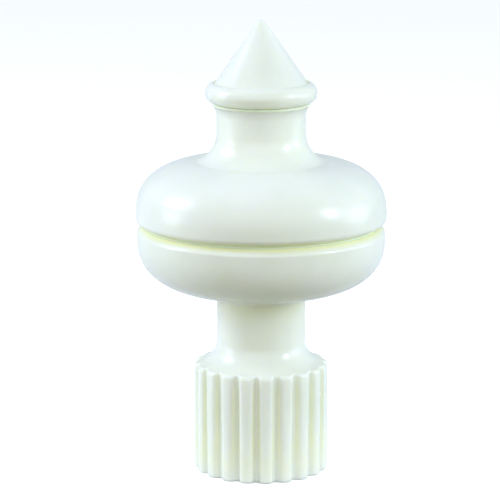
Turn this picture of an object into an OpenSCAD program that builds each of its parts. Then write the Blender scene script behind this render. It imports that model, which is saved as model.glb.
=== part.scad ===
// Turned-pattern cap for a round fence post: a fluted socket, a grooved bulb in two shells and a spire,
// stacked on a tie rod and held to the post by a set screw. Millimetres. +Z is up, the origin is the
// centre of the socket's mouth, and the front is -Y.

/* [Post] */
// Outer diameter of the post that the socket takes
post_d = 48.3; // [47.5:0.1:48.5]
// Radial clearance between the post and the socket
post_gap = 0.35; // [0.2:0.05:0.4]
// Height of the socket's wall, up to the post pad
socket_h = 40; // [34:1:41]

/* [Skirt] */
// Radius over the crests of the flutes
skirt_r = 29.1; // [28.8:0.1:30]
// Height of the shoulder, where its round meets the cove
shoulder_z = 47; // [45.5:0.1:47.5]
// Number of flutes round the skirt
flute_count = 20; // [16:4:24]
// Radius of the round bottom of a flute
flute_r = 2.1; // [1.6:0.1:2.2]

/* [Neck] */
// Radius of both necks
neck_r = 19.1; // [18.5:0.1:19.5]
// Radius of the hollow in both necks
neck_bore_r = 15.4; // [15:0.1:15.6]

/* [Bulb] */
// Height of the bulb's flat foot, where it sits on the neck
foot_z = 78.7; // [78.5:0.1:79.5]
// Height of the bulb's top
crown_z = 135.4; // [134.5:0.1:136]
// Largest radius of the lower shell
bowl_r = 53.2; // [52.5:0.1:53.5]
// Largest radius of the upper shell
dome_r = 53.8; // [53.5:0.1:54.5]
// Height of the middle of the groove round the bulb
groove_z = 107.5; // [107:0.1:108]
// Depth of that groove
groove_depth = 2.6; // [2:0.1:3]
// Radius of the bulb's hollow at the groove
hollow_r = 48.6; // [48:0.1:48.8]

/* [Spire] */
// Height of the seat that the spire stands on
seat_z = 160.1; // [159:0.1:161]
// Height of the tip
tip_z = 195.4; // [192:0.1:200]
// Radius of the round section of the bead
bead_r = 4.4; // [4:0.1:4.5]

/* [Fasteners] */
// Radius of the tie rod
rod_r = 4; // [3.8:0.1:4]
// Height of the clamp screw above the socket's mouth
clamp_z = 13; // [10:1:20]
// Radius of the clamp screw
clamp_r = 3; // [2.5:0.1:3]
// Running clearance of a screw in its thread
thread_gap = 0.06; // [0.02:0.01:0.1]

/* [Hidden] */
$fn = 96;

ivory = [0.93, 0.94, 0.87];
zinc = [0.72, 0.73, 0.75];
brass = [0.80, 0.65, 0.32];
dark_rubber = [0.15, 0.15, 0.15];
silicone = [0.86, 0.87, 0.76];
nylon = [0.90, 0.90, 0.86];

eps = 1;                              // how far a cutter passes a face
wall = 3.2;                           // thickness of the thin walls
mouth_chamfer = 0.8;
flute_inset = 0.3;                    // how far a flute's centre lies inside the crests
edge_r = 1.2;                         // round on the outer edges
bore_r = post_d / 2 + post_gap;
rod_hole_r = rod_r + 0.25;

cove_r = 10;                          // concave shoulder between the skirt and the neck
shoulder_r = 2.2;                     // round that ends the flutes below the shoulder
shoulder_tilt = asin(1 - (skirt_r - neck_r) / (cove_r + shoulder_r));
flare_r = 4.5;                        // concave flare between the neck and the bulb
flare_turn = 75;                      // how far round the flare turns, degrees
flare_end_r = neck_r + flare_r * (1 - cos(flare_turn));
flare_start_z = foot_z - flare_r * sin(flare_turn);

web_z = 53.5;                         // underside of the web that carries the tie rod
web_top_z = web_z + 3.5;

pad_t = 2.5;                          // post pad
pad_r = bore_r - 0.6;
pad_hole_r = 17;
ceiling_z = socket_h + pad_t;

bowl_core_r = 16.7;                   // radius inside which the bowl's underside is flat
bowl_mid_z = 102;
bowl_power = 2.46;
dome_core_r = 17.3;
dome_mid_z = 111.2;
dome_power = 2.68;
groove_half = groove_depth;           // half the height of the groove at its lips
gasket_t = 0.8;
rim_low_z = groove_z - gasket_t / 2;
rim_high_z = groove_z + gasket_t / 2;
groove_r = bowl_r - groove_depth;

sweep_r = 12.7;                       // concave sweep from the dome to the upper neck
sweep_turn = 70.5;
lip_r = 6;                            // gentle flare at the top of the upper neck
lip_turn = 45;
lip_end_r = neck_r + lip_r * (1 - cos(lip_turn));
crown_web_z = crown_z - wall;         // ceiling of the dome's hollow

rib_count = 6;
rib_t = 2;
rib_hub_r = 7.5;
rib_root = 0.8;                       // how deep the ribs are rooted in the shells
low_rib_h = 10;                       // height of the lower shell's ribs and hub
high_hub_h = 12;                      // height of the upper shell's hub
leg_w = 5;                            // rib legs that centre the upper shell in the lower one
leg_h = 4;
leg_gap = 0.1;

washer_t = 1;                         // spire washer
bead_mid_r = 19.5;
bead_z = seat_z + bead_r;
cone_r = 20;
cone_z = bead_z + 3.8;
tip_r = 1.8;
spigot_r = neck_bore_r - 0.2;
spigot_h = 5;
low_spigot_h = 8;
low_spigot_t = 2.6;
spire_core_r = 13;
spire_boss_r = 9.2;
spire_insert_r = 6;
spire_insert_h = 14;
spire_insert_z = seat_z + 1.5;
thread_grip = 10;                     // length of rod inside the spire's insert

nut_flats = 13;
lock_nut_h = 5.5;
lock_ring_h = 2.5;
jam_nut_h = 4;
plate_washer_r = 12;
plate_washer_t = 1.6;
lock_nut_z = web_z - plate_washer_t - lock_nut_h;
rod_low_z = lock_nut_z - lock_ring_h - 1;
rod_high_z = spire_insert_z + thread_grip;

boss_r = 6.5;                         // pad that fills the flutes round the clamp screw
boss_y = skirt_r + 0.8;
insert_r = 4;
insert_y = bore_r + 0.7;
pad_tip_y = bore_r + 0.1;
clamp_pad_r = clamp_r - 0.05;
clamp_pad_t = 1.6;
stem_r = 1.4;
stem_l = 1.8;
clamp_screw_l = 6;
hex_flats = 3;
hex_depth = 2.6;

// Points along an arc round c, from angle a to angle b
function arc(c, r, a, b, steps) =
    [for (i = [0:steps]) let (t = a + (b - a) * i / steps) [c[0] + r * cos(t), c[1] + r * sin(t)]];

// Points along a quarter of a superellipse round c, from radius start to its widest point
function swell(c, w, h, power, start, steps) =
    let (turn = acos(max(-1, min(1, (start - c[0]) / w))))
    [for (i = [0:steps]) let (u = cos(turn * (1 - i / steps)))
        [c[0] + w * u, c[1] + h * pow(max(0, 1 - pow(abs(u), power)), 1 / power)]];

function reversed(points) = [for (i = [len(points) - 1:-1:0]) points[i]];

module revolve(points) { rotate_extrude() polygon(points); }

// A plain ring round Z
module ring(outer, inner, low, high) {
    translate([0, 0, low]) difference() {
        cylinder(r = outer, h = high - low);
        translate([0, 0, -eps]) cylinder(r = inner, h = high - low + 2 * eps);
    }
}

// A round hole along Z
module hole(r, low, high) { translate([0, 0, low]) cylinder(r = r, h = high - low); }

// A cylinder along +Y, centred on the clamp screw's axis
module clamp_rod(r, near, far) {
    translate([0, near, clamp_z]) rotate([-90, 0, 0]) cylinder(r = r, h = far - near);
}

module hexagon(flats, h) { cylinder(r = flats / 2 / cos(30), h = h, $fn = 6); }

// Radial ribs with the given side view, which is drawn outwards from the axis
module ribs(side) {
    for (i = [0:rib_count - 1])
        rotate([90, 0, 30 + i * 360 / rib_count])
            linear_extrude(height = rib_t, center = true) polygon(side);
}

// Skirt, shoulder and lower neck as one turned blank
module turned_base() {
    revolve(concat(
        [[0, 0]],
        arc([skirt_r - edge_r, edge_r], edge_r, 270, 360, 3),
        arc([skirt_r - shoulder_r, shoulder_z - shoulder_r * cos(shoulder_tilt)], shoulder_r,
            0, 90 - shoulder_tilt, 4),
        arc([neck_r + cove_r, shoulder_z + cove_r * cos(shoulder_tilt)], cove_r,
            270 - shoulder_tilt, 180, 10),
        arc([neck_r + flare_r, flare_start_z], flare_r, 180, 180 - flare_turn, 6),
        [[0, foot_z]]
    ));
}

module flutes() {
    for (i = [0:flute_count - 1])
        rotate([0, 0, -90 + (i + 0.5) * 360 / flute_count])
            translate([skirt_r - flute_inset, 0, -eps]) cylinder(r = flute_r, h = shoulder_z + 2 * eps, $fn = 32);
}

module base_socket() color(ivory) difference() {
    union() {
        difference() {
            turned_base();
            flutes();
        }
        clamp_rod(boss_r, bore_r, boss_y);
    }
    hole(bore_r, -eps, socket_h);
    translate([0, 0, -0.01]) cylinder(r1 = bore_r + mouth_chamfer, r2 = bore_r, h = mouth_chamfer);
    hole(pad_r, socket_h - 0.01, ceiling_z);
    hole(neck_bore_r, ceiling_z - 0.01, web_z);
    hole(neck_bore_r, web_top_z, foot_z + eps);
    hole(rod_hole_r, web_z - eps, web_top_z + eps);
    clamp_rod(clamp_r + 0.03, bore_r - 3, insert_y + 0.01);
    clamp_rod(insert_r, insert_y, boss_y + eps);
}

// Lower half of the bulb, with a spigot that centres it in the lower neck
module lower_shell() color(ivory) {
    floor_z = foot_z + wall;
    difference() {
        union() {
            revolve(concat(
                [[0, foot_z], [flare_end_r, foot_z]],
                swell([bowl_core_r, bowl_mid_z], bowl_r - bowl_core_r, foot_z - bowl_mid_z,
                    bowl_power, flare_end_r + 1.5, 16),
                arc([bowl_r - edge_r, groove_z - groove_half - edge_r / 2], edge_r, 0, 45, 3),
                [[groove_r, rim_low_z], [0, rim_low_z]]
            ));
            ring(spigot_r, spigot_r - low_spigot_t, foot_z - low_spigot_h, foot_z + eps);
        }
        revolve(concat(
            [[0, floor_z]],
            swell([bowl_core_r, bowl_mid_z], hollow_r - bowl_core_r, floor_z - bowl_mid_z,
                bowl_power, bowl_core_r, 12),
            [[hollow_r, rim_low_z + eps], [0, rim_low_z + eps]]
        ));
        hole(rod_hole_r, foot_z - eps, floor_z + eps);
    }
    ribs(concat(
        [[rib_hub_r - 1, floor_z + low_rib_h - 2], [rib_hub_r - 1, floor_z - rib_root]],
        [for (p = swell([bowl_core_r, bowl_mid_z], hollow_r + rib_root - bowl_core_r,
            floor_z - rib_root - bowl_mid_z, bowl_power, bowl_core_r, 10))
            if (p[1] < floor_z + low_rib_h) p],
        [[bowl_core_r + 3, floor_z + low_rib_h / 2]]
    ));
    ring(rib_hub_r, rod_hole_r, floor_z - rib_root, floor_z + low_rib_h);
}

// Flat ring that closes the joint between the two shells
module rim_gasket() color(silicone) {
    ring(groove_r - 0.2, hollow_r + 0.1, rim_low_z, rim_high_z);
}

// Upper half of the bulb with the upper neck
module upper_shell() color(ivory) {
    sweep_start_r = neck_r + sweep_r * (1 - cos(sweep_turn));
    dome = swell([dome_core_r, dome_mid_z], dome_r - dome_core_r, crown_z - dome_mid_z,
        dome_power, sweep_start_r, 16);
    sweep_z = dome[0][1] + sweep_r * sin(sweep_turn);
    difference() {
        revolve(concat(
            [[0, rim_high_z], [groove_r, rim_high_z]],
            arc([dome_r - edge_r, groove_z + groove_half + edge_r / 2], edge_r, 315, 360, 3),
            reversed(dome),
            arc([neck_r + sweep_r, sweep_z], sweep_r, 180 + sweep_turn, 180, 10),
            arc([neck_r + lip_r, seat_z - washer_t - lip_r * sin(lip_turn)], lip_r, 180, 180 - lip_turn, 4),
            [[0, seat_z - washer_t]]
        ));
        revolve(concat(
            [[0, rim_high_z - eps], [hollow_r, rim_high_z - eps]],
            reversed(swell([dome_core_r, dome_mid_z], hollow_r - dome_core_r, crown_web_z - dome_mid_z,
                dome_power, dome_core_r, 12)),
            [[0, crown_web_z]]
        ));
        hole(rod_hole_r, crown_web_z - eps, crown_z + eps);
        hole(neck_bore_r, crown_web_z + wall, seat_z);
    }
    leg_r = hollow_r - leg_gap;
    leg_z = rim_low_z - leg_h;
    ribs(concat(
        [[hollow_r - leg_w, leg_z], [leg_r, leg_z], [leg_r, rim_high_z]],
        reversed(swell([dome_core_r, dome_mid_z], hollow_r + rib_root - dome_core_r,
            crown_web_z + rib_root - dome_mid_z, dome_power, dome_core_r, 10)),
        [[rib_hub_r - 1, crown_web_z + rib_root], [rib_hub_r - 1, crown_web_z - high_hub_h + 4],
            [leg_r - 2 * leg_w, crown_web_z - high_hub_h - 2]]
    ));
    ring(rib_hub_r, rod_hole_r, crown_web_z - high_hub_h, crown_web_z + rib_root);
}

// Bead and cone, cored out round a boss that holds the threaded insert
module spire() color(ivory) {
    slope = atan2(cone_r, tip_z - cone_z);
    inner_cone_z = tip_z - wall / sin(slope);
    difference() {
        revolve(concat(
            [[0, seat_z - spigot_h], [spigot_r, seat_z - spigot_h], [spigot_r, seat_z]],
            arc([bead_mid_r, bead_z], bead_r, 270, 438, 14),
            [[cone_r, cone_z]],
            arc([0, tip_z - tip_r], tip_r, 90 - (90 - slope) + 2, 90, 4),
            [[0, tip_z]]
        ));
        revolve([
            [spire_boss_r, seat_z - spigot_h - eps],
            [spire_core_r, seat_z - spigot_h - eps],
            [spire_core_r, inner_cone_z - spire_core_r / tan(slope)],
            [spire_boss_r, inner_cone_z - spire_boss_r / tan(slope)]
        ]);
        hole(spire_boss_r + 0.01, seat_z - spigot_h - eps, spire_insert_z);
        hole(spire_insert_r, spire_insert_z - eps, spire_insert_z + spire_insert_h);
        hole(rod_hole_r, spire_insert_z + eps, spire_insert_z + spire_insert_h + 1.5);
    }
}

// Threaded insert with two knurled bands and a relief between them
module spire_insert() color(brass) {
    low = spire_insert_z;
    high = spire_insert_z + spire_insert_h;
    band = spire_insert_h * 0.4;
    ring(spire_insert_r, rod_r + thread_gap, low, low + band);
    ring(spire_insert_r - 0.5, rod_r + thread_gap, low + band, high - band);
    ring(spire_insert_r, rod_r + thread_gap, high - band, high);
}

// Soft washer under the spire: it rises with the spire and doesn't turn
module spire_washer() color(silicone) {
    ring(lip_end_r - 0.2, neck_bore_r + 0.2, seat_z - washer_t, seat_z);
}

module tie_rod() color(zinc) {
    chamfer = 0.8;
    revolve([
        [0, rod_low_z], [rod_r - chamfer, rod_low_z], [rod_r, rod_low_z + chamfer],
        [rod_r, rod_high_z - chamfer], [rod_r - chamfer, rod_high_z], [0, rod_high_z]
    ]);
}

// One plain washer under the web and one on top of it
module rod_washers() color(zinc) {
    for (low = [web_z - plate_washer_t, web_top_z])
        ring(plate_washer_r, rod_r + 0.2, low, low + plate_washer_t);
}

// Hexagonal nut with chamfered corners
module nut(low, h) {
    difference() {
        intersection() {
            translate([0, 0, low]) hexagon(nut_flats, h);
            translate([0, 0, low]) cylinder(r1 = nut_flats / 2 + 0.3, r2 = nut_flats / 2 + 0.3 + h * 2, h = h);
            translate([0, 0, low]) cylinder(r1 = nut_flats / 2 + 0.3 + h * 2, r2 = nut_flats / 2 + 0.3, h = h);
        }
        hole(rod_r + thread_gap, low - eps, low + h + eps);
    }
}

// Self-locking nut below the web, with the collar that holds its nylon ring
module lock_nut() color(zinc) {
    nut(lock_nut_z, lock_nut_h);
    ring(nut_flats / 2 - 0.3, nut_flats / 2 - 1.3, lock_nut_z - lock_ring_h, lock_nut_z + 0.5);
}

module lock_nut_ring() color("steelblue") {
    ring(nut_flats / 2 - 1.3, rod_r, lock_nut_z - lock_ring_h + 0.3, lock_nut_z);
}

module jam_nut() color(zinc) { nut(web_top_z + plate_washer_t, jam_nut_h); }

// Ring that the end of the post presses against
module post_pad() color(dark_rubber) { ring(pad_r, pad_hole_r, socket_h, ceiling_z); }

// Threaded insert of the clamp screw
module clamp_insert() color(brass) {
    difference() {
        clamp_rod(insert_r, insert_y, boss_y);
        clamp_rod(clamp_r + thread_gap, insert_y - eps, boss_y + eps);
    }
}

// Set screw with a hexagonal socket in its outer end and a cup for the pad's stem in its tip
module clamp_screw() color(zinc) {
    near = pad_tip_y + clamp_pad_t;
    far = near + clamp_screw_l;
    difference() {
        clamp_rod(clamp_r, near, far);
        clamp_rod(stem_r + 0.06, near - eps, near + stem_l + 0.1);
        translate([0, far - hex_depth, clamp_z]) rotate([-90, 0, 0]) hexagon(hex_flats, hex_depth + eps);
    }
}

// Swivel tip of the set screw: it moves in with the screw and doesn't turn
module clamp_pad() color(nylon) {
    near = pad_tip_y;
    clamp_rod(clamp_pad_r, near, near + clamp_pad_t);
    clamp_rod(stem_r, near + clamp_pad_t - 0.01, near + clamp_pad_t + stem_l);
}

base_socket();
lower_shell();
rim_gasket();
upper_shell();
spire();
spire_insert();
spire_washer();
tie_rod();
rod_washers();
lock_nut();
lock_nut_ring();
jam_nut();
post_pad();
clamp_insert();
clamp_screw();
clamp_pad();
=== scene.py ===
"""Looks of a turned-pattern fence post cap: glossy ivory mouldings on a zinc-plated tie rod.

Lengths are in millimetres in the outlines and in metres in Blender. An outline is a closed loop of
(radius, height) points that is turned round the cap's axis. The front is -Y. The clamp screw is at the back.
"""

import math

import bmesh
import bpy
import numpy as np
from mathutils import Matrix, Vector


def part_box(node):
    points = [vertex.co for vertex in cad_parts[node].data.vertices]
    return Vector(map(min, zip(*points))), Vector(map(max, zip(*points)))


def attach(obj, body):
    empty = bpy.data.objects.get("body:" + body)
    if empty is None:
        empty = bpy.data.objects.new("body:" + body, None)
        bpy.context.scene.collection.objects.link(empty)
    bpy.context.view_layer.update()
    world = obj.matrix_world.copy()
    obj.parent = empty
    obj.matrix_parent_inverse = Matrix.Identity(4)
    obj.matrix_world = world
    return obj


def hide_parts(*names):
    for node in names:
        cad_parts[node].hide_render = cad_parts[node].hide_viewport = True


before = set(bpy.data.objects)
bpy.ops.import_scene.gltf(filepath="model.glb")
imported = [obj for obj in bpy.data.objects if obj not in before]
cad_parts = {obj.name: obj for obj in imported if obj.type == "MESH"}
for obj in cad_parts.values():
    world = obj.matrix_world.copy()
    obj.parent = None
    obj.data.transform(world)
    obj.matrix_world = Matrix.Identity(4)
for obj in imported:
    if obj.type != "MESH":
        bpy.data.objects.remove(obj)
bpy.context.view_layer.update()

MM = 0.001

# ---------------------------------------------------------------- sizes, from the frame where it has them


def node_top(node):
    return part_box(node)[1].z / MM


def node_bottom(node):
    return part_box(node)[0].z / MM


def node_radius(node):
    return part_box(node)[1].x / MM


SKIRT_R = node_radius("base_socket")
FOOT_Z = node_top("base_socket")
SOCKET_Z = node_bottom("post_pad")
CEILING_Z = node_top("post_pad")
PAD_R = node_radius("post_pad")
RIM_LOW_Z = node_bottom("rim_gasket")
RIM_HIGH_Z = node_top("rim_gasket")
SEAT_Z = node_top("spire_washer")
WASHER_Z = node_bottom("spire_washer")
TIP_Z = node_top("spire")
ROD_LOW_Z = node_bottom("tie_rod")
ROD_HIGH_Z = node_top("tie_rod")
CLAMP_Z = (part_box("clamp_screw")[0].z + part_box("clamp_screw")[1].z) / 2 / MM
CLAMP_NEAR_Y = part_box("clamp_screw")[0].y / MM
CLAMP_FAR_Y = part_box("clamp_screw")[1].y / MM
INSERT_NEAR_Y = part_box("clamp_insert")[0].y / MM
BOSS_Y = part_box("clamp_insert")[1].y / MM

BORE_R = 24.5
PAD_HOLE_R = 17.0
MOUTH_CHAMFER = 0.8
NECK_R = 19.1
NECK_BORE_R = 15.4
SPIGOT_R = NECK_BORE_R - 0.2
SHOULDER_Z = 47.0
SHOULDER_R = 2.2
COVE_R = 10.0
SHOULDER_TILT = math.degrees(math.asin(1 - (SKIRT_R - NECK_R) / (COVE_R + SHOULDER_R)))
FLARE_R = 4.5
FLARE_TURN = 75
FLARE_END_R = NECK_R + FLARE_R * (1 - math.cos(math.radians(FLARE_TURN)))
WEB_Z = 53.5
WEB_TOP_Z = 57.0
WALL = 3.2
ROD_R = 4.0
ROD_HOLE_R = 4.25
CLAMP_R = 3.0
KEY_FLATS = 3.0
KEY_DEPTH = 2.6
CUP_R = 1.46
CUP_DEPTH = 1.9
BOSS_R = 6.5
POCKET_R = 4.0
THREAD_GAP = 0.06

FLUTES = 20
FLUTE_DEPTH = 2.5
FLUTE_HALF_W = 1.75
CREST_ROUND = 0.5        # softness of a crest's corners
RUN_OUT_ROUND = 1.8      # the same at the top, where the flutes run out
RUN_OUT_H = 9
STEPS_PER_FLUTE = 20

BOWL_R = 53.2
BOWL_CORE_R = 16.7
BOWL_MID_Z = 102.0
BOWL_POWER = 2.46
DOME_R = 53.8
DOME_CORE_R = 17.3
DOME_MID_Z = 111.2
DOME_POWER = 2.68
CROWN_Z = 135.4
GROOVE_Z = (RIM_LOW_Z + RIM_HIGH_Z) / 2
GROOVE_DEPTH = 2.6
RIM_ROUND = 1.9
RIM_REACH = GROOVE_DEPTH + 0.1 + RIM_ROUND * math.tan(math.radians(22.5))
HOLLOW_R = 48.6
SWEEP_R = 12.7
SWEEP_TURN = 70.5
LIP_R = 6.0
LIP_TURN = 45
LIP_END_R = NECK_R + LIP_R * (1 - math.cos(math.radians(LIP_TURN)))
RIB_COUNT = 6
RIB_T = 2.0
RIB_ROOT = 0.8           # how far a rib goes into its shell's wall
HUB_R = 7.5
LOW_HUB_H = 10
HIGH_HUB_H = 12
SPIGOT_WALL = 2.6
SPIGOT_H = 8

BEAD_R = 4.4
BEAD_MID_R = 19.5
BEAD_Z = SEAT_Z + BEAD_R
CONE_R = 20.0
CONE_Z = BEAD_Z + 3.8
TIP_R = 1.8

SHARP_DEGREES = 32       # edges sharper than this stay crisp
RIDGE_DEPTH = 0.35
TINT_BAND = (0.35, 0.65) # the range of noise over which a tint changes

FLOOR_WHITE = 0.9        # how bright the floor is where the lens sees it
FLOOR_LIFT = 0.35        # extra brightness there
FLOOR_BOUNCE = (0.85, 0.85, 0.85)      # how much light it throws back
FLAG_BOUNCE = (0.14, 0.12, 0.01)       # the same in front of the object
FLAG_NEAR_Y = -0.10
FLAG_FAR_Y = 0.0
ROOM_LIGHT = (0.585, 0.635, 0.745)
BACKDROP_LIGHT = (1.2, 1.2, 1.2)
FOOT_FADE = 0.055        # height at which the painted shade in recesses is whole: nearer the floor it fades out


# ---------------------------------------------------------------- outlines


def arc(centre, radius, start, end, steps=12):
    """Points on an arc from angle start to angle end, in degrees."""
    angles = np.radians(np.linspace(start, end, steps + 1))
    return [(centre[0] + radius * math.cos(a), centre[1] + radius * math.sin(a)) for a in angles]


def swell(centre, width, height, power, start_r, steps=60):
    """A quarter of a superellipse, from radius start_r out to its widest point."""
    turn = math.acos(max(-1.0, min(1.0, (start_r - centre[0]) / width)))
    points = []
    for i in range(steps + 1):
        u = math.cos(turn * (1 - i / steps))
        rise = max(0.0, 1 - abs(u) ** power) ** (1 / power)
        points.append((centre[0] + width * u, centre[1] + height * rise))
    return points


def rounded(corners, steps=5):
    """A path through corners (r, z, fillet radius), with an arc at each corner that has a radius."""
    path = []
    for i, (r, z, fillet) in enumerate(corners):
        here = Vector((r, z))
        before = Vector(corners[i - 1][:2]) - here if i else None
        after = Vector(corners[i + 1][:2]) - here if i + 1 < len(corners) else None
        if not fillet or before is None or after is None:
            path.append((r, z))
            continue
        half = before.angle(after) / 2
        reach = min(fillet / math.tan(half), before.length * 0.49, after.length * 0.49)
        first, last = here + before.normalized() * reach, here + after.normalized() * reach
        for k in range(steps + 1):
            t = k / steps
            path.append(tuple(first * (1 - t) ** 2 + here * 2 * t * (1 - t) + last * t * t))
    return path


def split_long(points, longest):
    """The closed outline with extra points wherever two neighbours are further apart than longest."""
    out = []
    for a, b in zip(points, points[1:] + points[:1]):
        pieces = max(1, math.ceil(math.dist(a, b) / longest))
        for i in range(pieces):
            out.append((a[0] + (b[0] - a[0]) * i / pieces, a[1] + (b[1] - a[1]) * i / pieces))
    return out


# ---------------------------------------------------------------- meshes


def finish_mesh(obj):
    """Smooth shading, with the edges that should look crisp marked sharp."""
    mesh = obj.data
    mesh.update()
    mesh.shade_smooth()
    mesh.set_sharp_from_angle(angle=math.radians(SHARP_DEGREES))
    return obj


def new_object(name, vertices, faces):
    """A mesh object from points in millimetres, with doubled points on the axis merged."""
    mesh = bpy.data.meshes.new(name)
    mesh.from_pydata([(x * MM, y * MM, z * MM) for x, y, z in vertices], [], faces)
    bm = bmesh.new()
    bm.from_mesh(mesh)
    bmesh.ops.remove_doubles(bm, verts=bm.verts, dist=1e-7)
    bmesh.ops.recalc_face_normals(bm, faces=bm.faces)
    bm.to_mesh(mesh)
    bm.free()
    obj = bpy.data.objects.new(name, mesh)
    bpy.context.scene.collection.objects.link(obj)
    return obj


def turned(name, outline, steps=256, shape=None, longest=6.0):
    """Turns a closed outline round Z. shape(angles, r, z) may change the radii of a ring of points."""
    points = split_long(outline, longest)
    angles = np.linspace(0, 2 * math.pi, steps, endpoint=False) - math.pi / 2
    vertices = []
    for r, z in points:
        radii = np.full(steps, r) if shape is None else shape(angles, r, z)
        vertices += [(radii[i] * math.cos(a), radii[i] * math.sin(a), z) for i, a in enumerate(angles)]
    faces = []
    for j in range(len(points)):
        k = (j + 1) % len(points)
        if points[j][0] == 0 and points[k][0] == 0:
            continue
        for i in range(steps):
            n = (i + 1) % steps
            faces.append((j * steps + i, j * steps + n, k * steps + n, k * steps + i))
    return new_object(name, vertices, faces)


def drill(name, radius, low, high, steps):
    """A plain cylinder to cut a hole with."""
    return turned(name, [(0, low), (radius, low), (radius, high), (0, high)], steps)


def along_y(obj):
    """Lays a piece that was made along +Z onto the clamp screw's axis, along +Y."""
    obj.data.transform(Matrix.Translation((0, 0, CLAMP_Z * MM)) @ Matrix.Rotation(math.radians(-90), 4, "X"))
    return obj


def carve(obj, other, operation):
    """Applies a boolean with other, and removes other."""
    modifier = obj.modifiers.new("cut", "BOOLEAN")
    modifier.operation, modifier.object, modifier.solver = operation, other, "EXACT"
    graph = bpy.context.evaluated_depsgraph_get()
    result = bpy.data.meshes.new_from_object(obj.evaluated_get(graph))
    obj.modifiers.clear()
    obj.data = result
    bpy.data.objects.remove(other)
    return obj


def ribs(name, side):
    """Radial plates, each with the given (radius, height) side view, as one mesh."""
    vertices = []
    faces = []
    for i in range(RIB_COUNT):
        angle = math.radians(30 + i * 360 / RIB_COUNT)
        along = Vector((math.cos(angle), math.sin(angle), 0))
        across = Vector((-math.sin(angle), math.cos(angle), 0)) * RIB_T / 2
        start, count = len(vertices), len(side)
        for offset in (across, -across):
            vertices += [along * r + offset + Vector((0, 0, z)) for r, z in side]
        first = list(range(start, start + count))
        second = list(range(start + count, start + 2 * count))
        faces += [first, second]
        for j in range(count):
            k = (j + 1) % count
            faces.append((first[j], first[k], second[k], second[j]))
    return new_object(name, vertices, faces)


def hex_prism(name, flats, low, high):
    radius = flats / 2 / math.cos(math.pi / 6)
    corners = [(radius * math.cos(math.pi / 3 * i), radius * math.sin(math.pi / 3 * i)) for i in range(6)]
    vertices = [(x, y, low) for x, y in corners] + [(x, y, high) for x, y in corners]
    sides = [(i, (i + 1) % 6, (i + 1) % 6 + 6, i + 6) for i in range(6)]
    return new_object(name, vertices, [tuple(range(6)), tuple(range(6, 12))] + sides)


def threaded_rod(name, radius, pitch, low, high, chamfer, steps=40, rings_per_turn=10):
    """A rod with a real helical thread: the radius follows a rounded wave that climbs one pitch a turn."""
    depth = 0.61 * pitch
    rings = int((high - low) / pitch * rings_per_turn)
    angles = np.linspace(0, 2 * math.pi, steps, endpoint=False)
    outline = [(0, low)]
    for j in range(rings + 1):
        outline.append((radius, low + (high - low) * j / rings))
    outline.append((0, high))

    def shape(turn, r, z):
        if r == 0:
            return np.zeros(len(turn))
        phase = (z / pitch - turn / (2 * math.pi)) % 1.0
        wave = np.clip(1.5 - np.abs(phase - 0.5) * 4, 0, 1)
        ends = min(z - low, high - z)
        limit = radius - max(0.0, chamfer - ends)
        return np.minimum(radius - depth * wave, limit)

    return turned(name, outline, steps=len(angles), shape=shape, longest=1e9)


# ---------------------------------------------------------------- materials


def node_material(name):
    material = bpy.data.materials.new(name)
    material.use_nodes = True
    nodes = material.node_tree.nodes
    return material, nodes, material.node_tree.links, nodes["Principled BSDF"]


def axis_of(nodes, links, axis):
    """The object coordinate along axis, in metres."""
    coords = nodes.new("ShaderNodeTexCoord")
    axes = nodes.new("ShaderNodeSeparateXYZ")
    links.new(coords.outputs["Object"], axes.inputs["Vector"])
    return axes.outputs[axis]


def noise(nodes, links, scale, detail=3.0):
    """Noise in object coordinates. scale is in features a metre."""
    coords = nodes.new("ShaderNodeTexCoord")
    texture = nodes.new("ShaderNodeTexNoise")
    texture.inputs["Scale"].default_value = scale
    texture.inputs["Detail"].default_value = detail
    links.new(coords.outputs["Object"], texture.inputs["Vector"])
    return texture


def ramp(nodes, links, source, low, high):
    """A colour ramp from low to high, driven by source's factor."""
    node = nodes.new("ShaderNodeValToRGB")
    for element, position, colour in zip(node.color_ramp.elements, TINT_BAND, (low, high)):
        element.position = position
        element.color = (*colour, 1)
    links.new(source.outputs["Fac"], node.inputs["Fac"])
    return node


def to_range(nodes, links, source, low, high):
    node = nodes.new("ShaderNodeMapRange")
    node.inputs["To Min"].default_value = low
    node.inputs["To Max"].default_value = high
    links.new(source.outputs["Fac"], node.inputs["Value"])
    return node


def bump(nodes, links, source, shader, strength, distance):
    node = nodes.new("ShaderNodeBump")
    node.inputs["Strength"].default_value = strength
    node.inputs["Distance"].default_value = distance
    links.new(source.outputs["Fac"], node.inputs["Height"])
    links.new(node.outputs["Normal"], shader.inputs["Normal"])


def painted_shade_mask(nodes, links, distance):
    """Mask for painted shade: less than 1 in a recess and 1 on open surface, for recesses about distance
    metres wide.

    The floor isn't a recess, so the mask also climbs to 1 from the height FOOT_FADE down to the foot.
    """
    occlusion = nodes.new("ShaderNodeAmbientOcclusion")
    occlusion.samples = 12
    occlusion.inputs["Distance"].default_value = distance
    mask = nodes.new("ShaderNodeMapRange")
    mask.interpolation_type = "SMOOTHSTEP"
    mask.inputs["From Min"].default_value = 0.45
    mask.inputs["From Max"].default_value = 0.87
    mask.inputs["To Min"].default_value = 0.35
    links.new(occlusion.outputs["AO"], mask.inputs["Value"])
    foot = nodes.new("ShaderNodeMapRange")
    foot.inputs["From Max"].default_value = FOOT_FADE
    foot.inputs["To Min"].default_value = 1.0
    foot.inputs["To Max"].default_value = 0.0
    links.new(axis_of(nodes, links, "Z"), foot.inputs["Value"])
    either = nodes.new("ShaderNodeMath")
    either.operation = "MAXIMUM"
    links.new(mask.outputs["Result"], either.inputs[0])
    links.new(foot.outputs["Result"], either.inputs[1])
    return either


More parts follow.
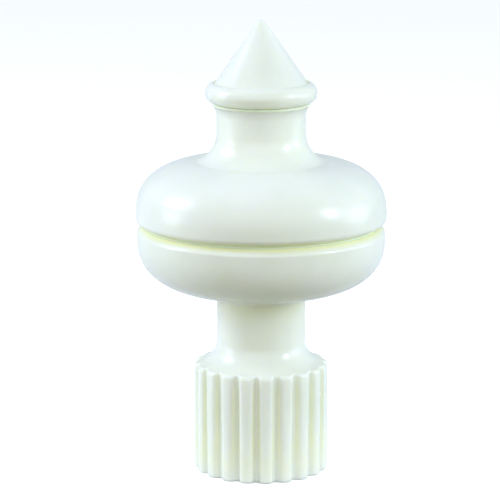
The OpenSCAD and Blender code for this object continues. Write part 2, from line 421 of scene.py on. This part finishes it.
def ivory_plastic():
    """Glossy ivory moulding with painted shade: a yellower tint in recesses stands in for the shade there.
    Light goes a little way in, and the gloss ripples.
    """
    material, nodes, links, shader = node_material("ivory_plastic")
    cloud = noise(nodes, links, 45)
    open_tint = ramp(nodes, links, cloud, (0.80, 0.835, 0.70), (0.84, 0.865, 0.75))
    # Painted shade: this yellow tint goes into recesses found by ambient occlusion, in place of the shade
    # that falls there.
    painted_shade_tint = ramp(nodes, links, cloud, (0.89, 0.895, 0.31), (0.93, 0.93, 0.37))
    tint = nodes.new("ShaderNodeMixRGB")
    mask = painted_shade_mask(nodes, links, 0.025)
    links.new(mask.outputs["Value"], tint.inputs["Fac"])
    links.new(painted_shade_tint.outputs["Color"], tint.inputs["Color1"])
    links.new(open_tint.outputs["Color"], tint.inputs["Color2"])
    links.new(tint.outputs["Color"], shader.inputs["Base Color"])
    haze = to_range(nodes, links, noise(nodes, links, 160, 4), 0.20, 0.30)
    links.new(haze.outputs["Result"], shader.inputs["Roughness"])
    shader.inputs["Subsurface Weight"].default_value = 0.45
    shader.inputs["Subsurface Radius"].default_value = (1.0, 0.95, 0.55)
    shader.inputs["Subsurface Scale"].default_value = 0.004
    shader.inputs["IOR"].default_value = 1.49
    bump(nodes, links, noise(nodes, links, 700, 2), shader, 0.08, 0.0001)
    return material


def plated_steel():
    """Bright zinc plating with fine turning marks and a cloudy passivated sheen."""
    material, nodes, links, shader = node_material("zinc_steel")
    tint = ramp(nodes, links, noise(nodes, links, 300), (0.60, 0.62, 0.66), (0.74, 0.75, 0.76))
    links.new(tint.outputs["Color"], shader.inputs["Base Color"])
    shader.inputs["Metallic"].default_value = 1.0
    haze = to_range(nodes, links, noise(nodes, links, 900, 4), 0.22, 0.42)
    links.new(haze.outputs["Result"], shader.inputs["Roughness"])
    bump(nodes, links, noise(nodes, links, 2500, 2), shader, 0.15, 0.00005)
    return material


def turned_brass():
    material, nodes, links, shader = node_material("brass")
    tint = ramp(nodes, links, noise(nodes, links, 400), (0.66, 0.46, 0.16), (0.80, 0.60, 0.25))
    links.new(tint.outputs["Color"], shader.inputs["Base Color"])
    shader.inputs["Metallic"].default_value = 1.0
    haze = to_range(nodes, links, noise(nodes, links, 1200, 4), 0.20, 0.38)
    links.new(haze.outputs["Result"], shader.inputs["Roughness"])
    bump(nodes, links, noise(nodes, links, 2500, 2), shader, 0.12, 0.00005)
    return material


def soft_rubber():
    material, nodes, links, shader = node_material("soft_rubber")
    tint = ramp(nodes, links, noise(nodes, links, 500), (0.018, 0.018, 0.018), (0.035, 0.034, 0.032))
    links.new(tint.outputs["Color"], shader.inputs["Base Color"])
    haze = to_range(nodes, links, noise(nodes, links, 700, 4), 0.55, 0.75)
    links.new(haze.outputs["Result"], shader.inputs["Roughness"])
    bump(nodes, links, noise(nodes, links, 2000, 3), shader, 0.3, 0.0001)
    return material


def pale_silicone():
    material, nodes, links, shader = node_material("pale_silicone")
    tint = ramp(nodes, links, noise(nodes, links, 300), (0.86, 0.87, 0.66), (0.90, 0.91, 0.72))
    links.new(tint.outputs["Color"], shader.inputs["Base Color"])
    haze = to_range(nodes, links, noise(nodes, links, 900, 4), 0.45, 0.6)
    links.new(haze.outputs["Result"], shader.inputs["Roughness"])
    shader.inputs["Subsurface Weight"].default_value = 0.4
    shader.inputs["Subsurface Scale"].default_value = 0.003
    bump(nodes, links, noise(nodes, links, 1800, 2), shader, 0.15, 0.00005)
    return material


def natural_nylon():
    material, nodes, links, shader = node_material("nylon")
    tint = ramp(nodes, links, noise(nodes, links, 400), (0.72, 0.71, 0.62), (0.80, 0.79, 0.70))
    links.new(tint.outputs["Color"], shader.inputs["Base Color"])
    haze = to_range(nodes, links, noise(nodes, links, 900), 0.38, 0.5)
    links.new(haze.outputs["Result"], shader.inputs["Roughness"])
    shader.inputs["Subsurface Weight"].default_value = 0.3
    shader.inputs["Subsurface Scale"].default_value = 0.002
    bump(nodes, links, noise(nodes, links, 1500), shader, 0.1, 0.00005)
    return material


MATERIALS = {
    "ivory_plastic": ivory_plastic(),
    "zinc_steel": plated_steel(),
    "brass": turned_brass(),
    "soft_rubber": soft_rubber(),
    "pale_silicone": pale_silicone(),
    "nylon": natural_nylon(),
}


def dress(obj, slot):
    obj.data.materials.clear()
    obj.data.materials.append(MATERIALS[slot])
    return obj


def place(obj, body, slot, *nodes):
    """Gives a made piece its material and body, and lets it stand for its CAD nodes."""
    dress(finish_mesh(obj), slot)
    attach(obj, body)
    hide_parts(*nodes)
    return obj


# ---------------------------------------------------------------- the base


def smooth_min(a, b, blend):
    """The smaller of a and b, with the corner between them rounded over."""
    h = np.clip(0.5 + 0.5 * (b - a) / blend, 0, 1)
    return b * (1 - h) + a * h - blend * h * (1 - h)


def fluted(angles, r, z):
    """Radii of a ring on the skirt: round-bottomed flutes between crests that soften where they run out."""
    if r <= BORE_R + 1.2 or z > SHOULDER_Z + 4:
        return np.full(len(angles), r)
    pitch = 2 * math.pi / FLUTES
    from_crest = (angles + math.pi / 2) % pitch
    across = np.abs(from_crest - pitch / 2) * SKIRT_R
    groove = 1 / (1 + (across / FLUTE_HALF_W) ** 4)
    run_out = max(0.0, min(1.0, (z - SHOULDER_Z + RUN_OUT_H) / (RUN_OUT_H - 2)))
    blend = CREST_ROUND + (RUN_OUT_ROUND - CREST_ROUND) * run_out
    skirt = SKIRT_R + blend / 4 - FLUTE_DEPTH * groove
    if z < SHOULDER_Z / 2:
        return skirt - blend / 4 - (SKIRT_R - r) * (1 - 0.35 * groove)
    return smooth_min(np.full(len(angles), r), skirt, blend)


def base_socket():
    flare_z = FOOT_Z - FLARE_R * math.sin(math.radians(FLARE_TURN))
    tilt_rise = math.cos(math.radians(SHOULDER_TILT))
    round_z = SHOULDER_Z - SHOULDER_R * tilt_rise
    outside = (
        arc((SKIRT_R - 1.1, 1.1), 1.1, 270, 360, 8)
        + [(SKIRT_R, z) for z in np.linspace(3, round_z - 1, 12)]
        + arc((SKIRT_R - SHOULDER_R, round_z), SHOULDER_R, 0, 90 - SHOULDER_TILT, 16)
        + arc((NECK_R + COVE_R, SHOULDER_Z + COVE_R * tilt_rise), COVE_R, 270 - SHOULDER_TILT, 180, 48)[1:]
        + arc((NECK_R + FLARE_R, flare_z), FLARE_R, 180, 180 - FLARE_TURN, 16)
    )
    inside = rounded([
        (FLARE_END_R, FOOT_Z, 0),
        (NECK_BORE_R, FOOT_Z, 0.3),
        (NECK_BORE_R, WEB_TOP_Z, 0.5),
        (ROD_HOLE_R, WEB_TOP_Z, 0.2),
        (ROD_HOLE_R, WEB_Z, 0.2),
        (NECK_BORE_R, WEB_Z, 0.5),
        (NECK_BORE_R, CEILING_Z, 0.4),
        (PAD_R, CEILING_Z, 0),
        (PAD_R, SOCKET_Z, 0),
        (BORE_R, SOCKET_Z, 0),
        (BORE_R, MOUTH_CHAMFER, 0.2),
        (BORE_R + MOUTH_CHAMFER, 0, 0.2),
        (BORE_R + MOUTH_CHAMFER + 0.4, 0, 0),
    ])
    obj = turned("base_socket_shell", outside + inside[1:], FLUTES * STEPS_PER_FLUTE, fluted)
    boss_root = BORE_R + 0.6
    boss_side = [(0, boss_root, 0), (BOSS_R, boss_root, 0), (BOSS_R, BOSS_Y, 0.7), (0, BOSS_Y, 0)]
    boss = turned("boss", rounded(boss_side), 64)
    carve(obj, along_y(boss), "UNION")
    carve(obj, drill("socket", BORE_R, -1, SOCKET_Z - 4, 400), "DIFFERENCE")
    carve(obj, along_y(drill("pocket", POCKET_R, INSERT_NEAR_Y, BOSS_Y + 1, 64)), "DIFFERENCE")
    carve(obj, along_y(drill("tip_hole", CLAMP_R + 0.03, BORE_R - 3, BOSS_Y, 48)), "DIFFERENCE")
    return place(obj, "cap", "ivory_plastic", "base_socket")


# ---------------------------------------------------------------- the bulb


def bowl_curve(radius, foot_z, start_r, steps=60):
    """The bowl's side view from start_r outwards, with the given widest radius and lowest height."""
    centre = (BOWL_CORE_R, BOWL_MID_Z)
    return swell(centre, radius - BOWL_CORE_R, foot_z - BOWL_MID_Z, BOWL_POWER, start_r, steps)


def dome_curve(radius, top_z, start_r, steps=60):
    """The dome's side view from start_r outwards, with the given widest radius and highest point."""
    centre = (DOME_CORE_R, DOME_MID_Z)
    return swell(centre, radius - DOME_CORE_R, top_z - DOME_MID_Z, DOME_POWER, start_r, steps)


def lower_shell():
    floor_z = FOOT_Z + WALL
    outside = (
        [(FLARE_END_R, FOOT_Z)]
        + bowl_curve(BOWL_R, FOOT_Z, FLARE_END_R + 1)
        + arc((BOWL_R - RIM_ROUND, GROOVE_Z - RIM_REACH), RIM_ROUND, 0, 45, 10)
    )
    rim = rounded([
        (*outside[-1], 0),
        (BOWL_R - GROOVE_DEPTH, RIM_LOW_Z, 0.15),
        (HOLLOW_R, RIM_LOW_Z, 0.2),
        (HOLLOW_R, BOWL_MID_Z, 0),
    ])
    hollow = bowl_curve(HOLLOW_R, floor_z, BOWL_CORE_R, 30)
    hub = rounded([
        (BOWL_CORE_R, floor_z, 0),
        (HUB_R, floor_z, 0.5),
        (HUB_R, floor_z + LOW_HUB_H, 0.3),
        (ROD_HOLE_R, floor_z + LOW_HUB_H, 0.2),
        (ROD_HOLE_R, FOOT_Z, 0.2),
        (SPIGOT_R - SPIGOT_WALL, FOOT_Z, 0.4),
        (SPIGOT_R - SPIGOT_WALL, FOOT_Z - SPIGOT_H, 0.3),
        (SPIGOT_R, FOOT_Z - SPIGOT_H, 0.6),
        (SPIGOT_R, FOOT_Z, 0.1),
        (FLARE_END_R, FOOT_Z, 0),
    ])
    shell = turned("lower_bulb", outside + rim[1:] + hollow[::-1][1:] + hub[1:-1])
    skin = bowl_curve(HOLLOW_R + RIB_ROOT, floor_z - RIB_ROOT, BOWL_CORE_R, 30)
    side = (
        [(HUB_R - 1, floor_z + 8), (HUB_R - 1, floor_z - 0.6)]
        + [point for point in skin if point[1] < floor_z + LOW_HUB_H]
        + [(HUB_R + 12, floor_z + 5)]
    )
    carve(shell, ribs("lower_ribs", side), "UNION")
    return place(shell, "cap", "ivory_plastic", "lower_shell")


def upper_shell():
    ceiling_z = CROWN_Z - WALL
    sweep_start = NECK_R + SWEEP_R * (1 - math.cos(math.radians(SWEEP_TURN)))
    dome = dome_curve(DOME_R, CROWN_Z, sweep_start)
    sweep_z = dome[0][1] + SWEEP_R * math.sin(math.radians(SWEEP_TURN))
    outside = (
        [(BOWL_R - GROOVE_DEPTH, RIM_HIGH_Z)]
        + arc((DOME_R - RIM_ROUND, GROOVE_Z + RIM_REACH), RIM_ROUND, 315, 360, 10)
        + dome[::-1]
        + arc((NECK_R + SWEEP_R, sweep_z), SWEEP_R, 180 + SWEEP_TURN, 180, 40)[1:]
        + arc((NECK_R + LIP_R, WASHER_Z - LIP_R * math.sin(math.radians(LIP_TURN))), LIP_R,
              180, 180 - LIP_TURN + 4, 14)
    )
    neck = rounded([
        (LIP_END_R - 0.3, WASHER_Z - 0.3, 0),
        (LIP_END_R, WASHER_Z, 0.2),
        (NECK_BORE_R, WASHER_Z, 0.4),
        (NECK_BORE_R, CROWN_Z, 0.5),
        (ROD_HOLE_R, CROWN_Z, 0.2),
        (ROD_HOLE_R, ceiling_z - HIGH_HUB_H, 0.2),
        (HUB_R, ceiling_z - HIGH_HUB_H, 0.3),
        (HUB_R, ceiling_z, 0.5),
        (DOME_CORE_R, ceiling_z, 0),
    ])
    hollow = dome_curve(HOLLOW_R, ceiling_z, DOME_CORE_R, 30)
    rim = rounded([
        (HOLLOW_R, DOME_MID_Z, 0),
        (HOLLOW_R, RIM_HIGH_Z, 0.2),
        (BOWL_R - GROOVE_DEPTH, RIM_HIGH_Z, 0),
    ])
    shell = turned("upper_bulb", outside + neck[1:] + hollow[1:] + rim[1:-1])
    skin = dome_curve(HOLLOW_R + RIB_ROOT, ceiling_z + RIB_ROOT, DOME_CORE_R, 30)
    leg_r = HOLLOW_R - 0.1
    side = (
        [(HOLLOW_R - 5, RIM_LOW_Z - 4), (leg_r, RIM_LOW_Z - 4), (leg_r, RIM_HIGH_Z)]
        + skin[::-1]
        + [(HUB_R - 1, ceiling_z + 0.6), (HUB_R - 1, ceiling_z - 8), (HOLLOW_R - 12, ceiling_z - 14)]
    )
    carve(shell, ribs("upper_ribs", side), "UNION")
    return place(shell, "cap", "ivory_plastic", "upper_shell")


# ---------------------------------------------------------------- the spire


def spire():
    slope = math.atan2(CONE_R, TIP_Z - CONE_Z)
    inner_tip_z = TIP_Z - WALL / math.sin(slope)
    spigot_z = node_bottom("spire")
    insert_z = node_bottom("spire_insert")
    insert_top = node_top("spire_insert")
    core_r, boss_r, insert_r = 13.0, 9.2, 6.0
    halfway = (CONE_R * 0.5, (CONE_Z + TIP_Z) / 2, 0)
    crease = rounded([(BEAD_MID_R + 0.9, BEAD_Z + 4.3, 0), (CONE_R, CONE_Z + 0.1, 0.3), halfway])
    outside = (
        arc((BEAD_MID_R, BEAD_Z), BEAD_R, 270, 438, 40)
        + crease[1:-1]
        + arc((0, TIP_Z - TIP_R), TIP_R, math.degrees(slope) + 2, 90, 10)
    )
    inside = rounded([
        (0, insert_top + 1.5, 0),
        (ROD_HOLE_R, insert_top + 1.5, 0.2),
        (ROD_HOLE_R, insert_top, 0.1),
        (insert_r, insert_top, 0),
        (insert_r, insert_z, 0.1),
        (boss_r, insert_z, 0.3),
        (boss_r, inner_tip_z - boss_r / math.tan(slope), 0.3),
        (core_r, inner_tip_z - core_r / math.tan(slope), 0.3),
        (core_r, spigot_z, 0.3),
        (SPIGOT_R, spigot_z, 0.6),
        (SPIGOT_R, SEAT_Z, 0.2),
        (BEAD_MID_R, SEAT_Z, 0),
    ])
    return place(turned("spire_moulding", outside + inside[:-1]), "spire", "ivory_plastic", "spire")


# ---------------------------------------------------------------- seals and pads


def soft_ring(name, node, body, slot, bore_r, edge, ridges=0):
    """A soft ring in a CAD ring's place, with round edges and, if asked, round ridges on its underside."""
    low, high, outer = node_bottom(node), node_top(node), node_radius(node)
    middle = (outer + bore_r) / 2
    if ridges:
        turns = np.linspace(1, 0, 12 * ridges + 1)[1:-1]
        inner, flat = bore_r + edge, outer - bore_r - 2 * edge
        waves = (1 - np.cos(2 * math.pi * ridges * turns)) / 2
        face = [(inner + flat * t, low + RIDGE_DEPTH * wave, 0) for t, wave in zip(turns, waves)]
    else:
        face = [(middle, low, 0)]
    outline = rounded(
        [(middle, high, 0), (outer, high, edge), (outer, low, edge)]
        + face
        + [(bore_r, low, edge), (bore_r, high, edge), (middle, high, 0)],
        8,
    )
    return place(turned(name, outline[::-1][1:]), body, slot, node)


# ---------------------------------------------------------------- the hardware


def knurled_insert(name, outer, bore, low, high, bands, knurls=30):
    """A brass insert with a straight knurl on each band (low, high) and a plain relief between the bands."""
    relief = outer - 0.5
    path = [(bore, low, 0.2)]
    for band_low, band_high in bands:
        path += [(relief, band_low, 0), (outer, band_low, 0.15)]
        path += [(outer, band_high, 0.15), (relief, band_high, 0)]
    path += [(bore, high, 0.2), (bore, (low + high) / 2, 0)]
    outline = rounded([(bore, (low + high) / 2, 0)] + path, 4)[:-1]

    def shape(angles, r, z):
        if r <= relief:
            return np.full(len(angles), r)
        ridge = np.abs((angles * knurls / (2 * math.pi)) % 1.0 - 0.5) * 2
        return r - 0.22 * ridge

    return turned(name, outline, knurls * 8, shape)


def spire_insert():
    low, high = node_bottom("spire_insert"), node_top("spire_insert")
    band = (high - low) * 0.4
    bands = [(low, low + band), (high - band, high)]
    outer, bore = node_radius("spire_insert"), ROD_R + THREAD_GAP
    insert = knurled_insert("spire_insert_m8", outer, bore, low, high, bands)
    return place(insert, "spire", "brass", "spire_insert")


def clamp_insert():
    insert = knurled_insert("clamp_insert_m6", node_radius("clamp_insert"), CLAMP_R + THREAD_GAP,
                            INSERT_NEAR_Y, BOSS_Y, [(INSERT_NEAR_Y, BOSS_Y - 0.8)], 24)
    return place(along_y(insert), "cap", "brass", "clamp_insert")


def tie_rod():
    rod = threaded_rod("tie_rod_m8", ROD_R, 1.25, ROD_LOW_Z, ROD_HIGH_Z, 0.8)
    return place(rod, "cap", "zinc_steel", "tie_rod")


def clamp_screw():
    """Set screw with a real thread, a hexagonal socket and a cup for the pad's stem."""
    screw = threaded_rod("set_screw", CLAMP_R, 1.0, CLAMP_NEAR_Y, CLAMP_FAR_Y, 0.5, 48, 12)
    carve(screw, hex_prism("key", KEY_FLATS, CLAMP_FAR_Y - KEY_DEPTH, CLAMP_FAR_Y + 1), "DIFFERENCE")
    carve(screw, drill("cup", CUP_R, CLAMP_NEAR_Y - 1, CLAMP_NEAR_Y + CUP_DEPTH, 32), "DIFFERENCE")
    return place(along_y(screw), "clamp_screw", "zinc_steel", "clamp_screw")


base_socket()
lower_shell()
upper_shell()
spire()
soft_ring("rim_seal", "rim_gasket", "cap", "pale_silicone", HOLLOW_R + 0.1, 0.25)
soft_ring("spire_seal", "spire_washer", "spire_seat", "pale_silicone", NECK_BORE_R + 0.2, 0.3)
soft_ring("post_stop_pad", "post_pad", "cap", "soft_rubber", PAD_HOLE_R, 0.4, ridges=4)
spire_insert()
tie_rod()
clamp_insert()
clamp_screw()

KEPT_NODES = {
    "rod_washers": "zinc_steel",
    "lock_nut": "zinc_steel",
    "lock_nut_ring": "nylon",
    "jam_nut": "zinc_steel",
    "clamp_pad": "nylon",
}
for node_name, slot_name in KEPT_NODES.items():
    dress(finish_mesh(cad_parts[node_name]), slot_name)


# ---------------------------------------------------------------- floor, light and camera


def seen_directly(nodes):
    """1 where the lens looks straight at a surface of the set, and 0 for the light that it throws back."""
    return nodes.new("ShaderNodeLightPath").outputs["Is Camera Ray"]


def mixed(nodes, links, factor, first, second):
    node = nodes.new("ShaderNodeMixRGB")
    node.inputs["Color1"].default_value = (*first, 1)
    node.inputs["Color2"].default_value = (*second, 1)
    links.new(factor, node.inputs["Fac"])
    return node


def pale_floor():
    """White floor. It throws back less light in front of the object, where a dark warm flag lies."""
    bpy.ops.mesh.primitive_plane_add(size=12, location=(0, 0, -0.0001))
    floor = bpy.context.object
    floor.name = "floor"
    material, nodes, links, shader = node_material("floor_white")
    thrown = nodes.new("ShaderNodeMapRange")
    thrown.inputs["From Min"].default_value = FLAG_NEAR_Y
    thrown.inputs["From Max"].default_value = FLAG_FAR_Y
    links.new(axis_of(nodes, links, "Y"), thrown.inputs["Value"])
    bounce = mixed(nodes, links, thrown.outputs["Result"], FLAG_BOUNCE, FLOOR_BOUNCE)
    direct = seen_directly(nodes)
    white = mixed(nodes, links, direct, FLOOR_BOUNCE, (FLOOR_WHITE,) * 3)
    links.new(bounce.outputs["Color"], white.inputs["Color1"])
    links.new(white.outputs["Color"], shader.inputs["Base Color"])
    lift = nodes.new("ShaderNodeMath")
    lift.operation = "MULTIPLY"
    lift.inputs[1].default_value = FLOOR_LIFT
    links.new(direct, lift.inputs[0])
    shader.inputs["Emission Color"].default_value = (1, 1, 1, 1)
    links.new(lift.outputs["Value"], shader.inputs["Emission Strength"])
    shader.inputs["Roughness"].default_value = 0.9
    shader.inputs["Specular IOR Level"].default_value = 0.1
    floor.data.materials.append(material)


def softbox(name, azimuth, elevation, distance, size, power, colour=(1, 1, 1)):
    """An area light that faces the bulb. Azimuth 0 is the front and grows towards +X."""
    a, e = math.radians(azimuth), math.radians(elevation)
    aim = Vector((0, 0, 0.11))
    away = Vector((math.sin(a) * math.cos(e), -math.cos(a) * math.cos(e), math.sin(e)))
    data = bpy.data.lights.new(name, "AREA")
    data.shape, data.size, data.size_y = "RECTANGLE", size[0], size[1]
    data.energy = power
    data.color = colour
    lamp = bpy.data.objects.new(name, data)
    lamp.location = aim + away * distance
    lamp.rotation_mode = "QUATERNION"
    lamp.rotation_quaternion = (-away).to_track_quat("-Z", "Y")
    bpy.context.scene.collection.objects.link(lamp)


def studio():
    world = bpy.data.worlds.new("studio")
    world.use_nodes = True
    nodes, links = world.node_tree.nodes, world.node_tree.links
    background = nodes["Background"]
    colour = mixed(nodes, links, seen_directly(nodes), ROOM_LIGHT, BACKDROP_LIGHT)
    links.new(colour.outputs["Color"], background.inputs["Color"])
    bpy.context.scene.world = world
    softbox("front", -5, 18, 1.6, (2.4, 1.3), 10.8, (0.95, 0.95, 1.0))
    softbox("key_left", -98, 30, 1.3, (0.5, 0.5), 8.0, (0.72, 0.80, 1.0))
    softbox("low_left", -92, 2, 1.4, (0.5, 0.5), 4.5, (0.72, 0.80, 1.0))
    softbox("strip_right", 63, 20, 1.3, (0.18, 0.4), 6.0, (0.70, 0.82, 1.0))
    softbox("low_right", 92, 2, 1.4, (0.7, 0.7), 6.0, (0.75, 0.85, 1.0))
    bpy.context.scene.view_settings.view_transform = "Standard"


def camera():
    azimuth, pitch = math.radians(-4.5), math.radians(12)
    distance, aim_z, aside = 1.095, 0.0961, 0.00477
    level = Vector((math.sin(azimuth), -math.cos(azimuth), 0))
    back = level * math.cos(pitch) + Vector((0, 0, math.sin(pitch)))
    right = Vector((math.cos(azimuth), math.sin(azimuth), 0))
    data = bpy.data.cameras.new("camera")
    data.sensor_width = 36
    data.lens = 183.35
    cam = bpy.data.objects.new("camera", data)
    cam.location = Vector((0, 0, aim_z)) + back * distance - right * aside
    cam.rotation_mode = "QUATERNION"
    cam.rotation_quaternion = (-back).to_track_quat("-Z", "Y")
    bpy.context.scene.collection.objects.link(cam)
    bpy.context.scene.camera = cam


pale_floor()
studio()
camera()
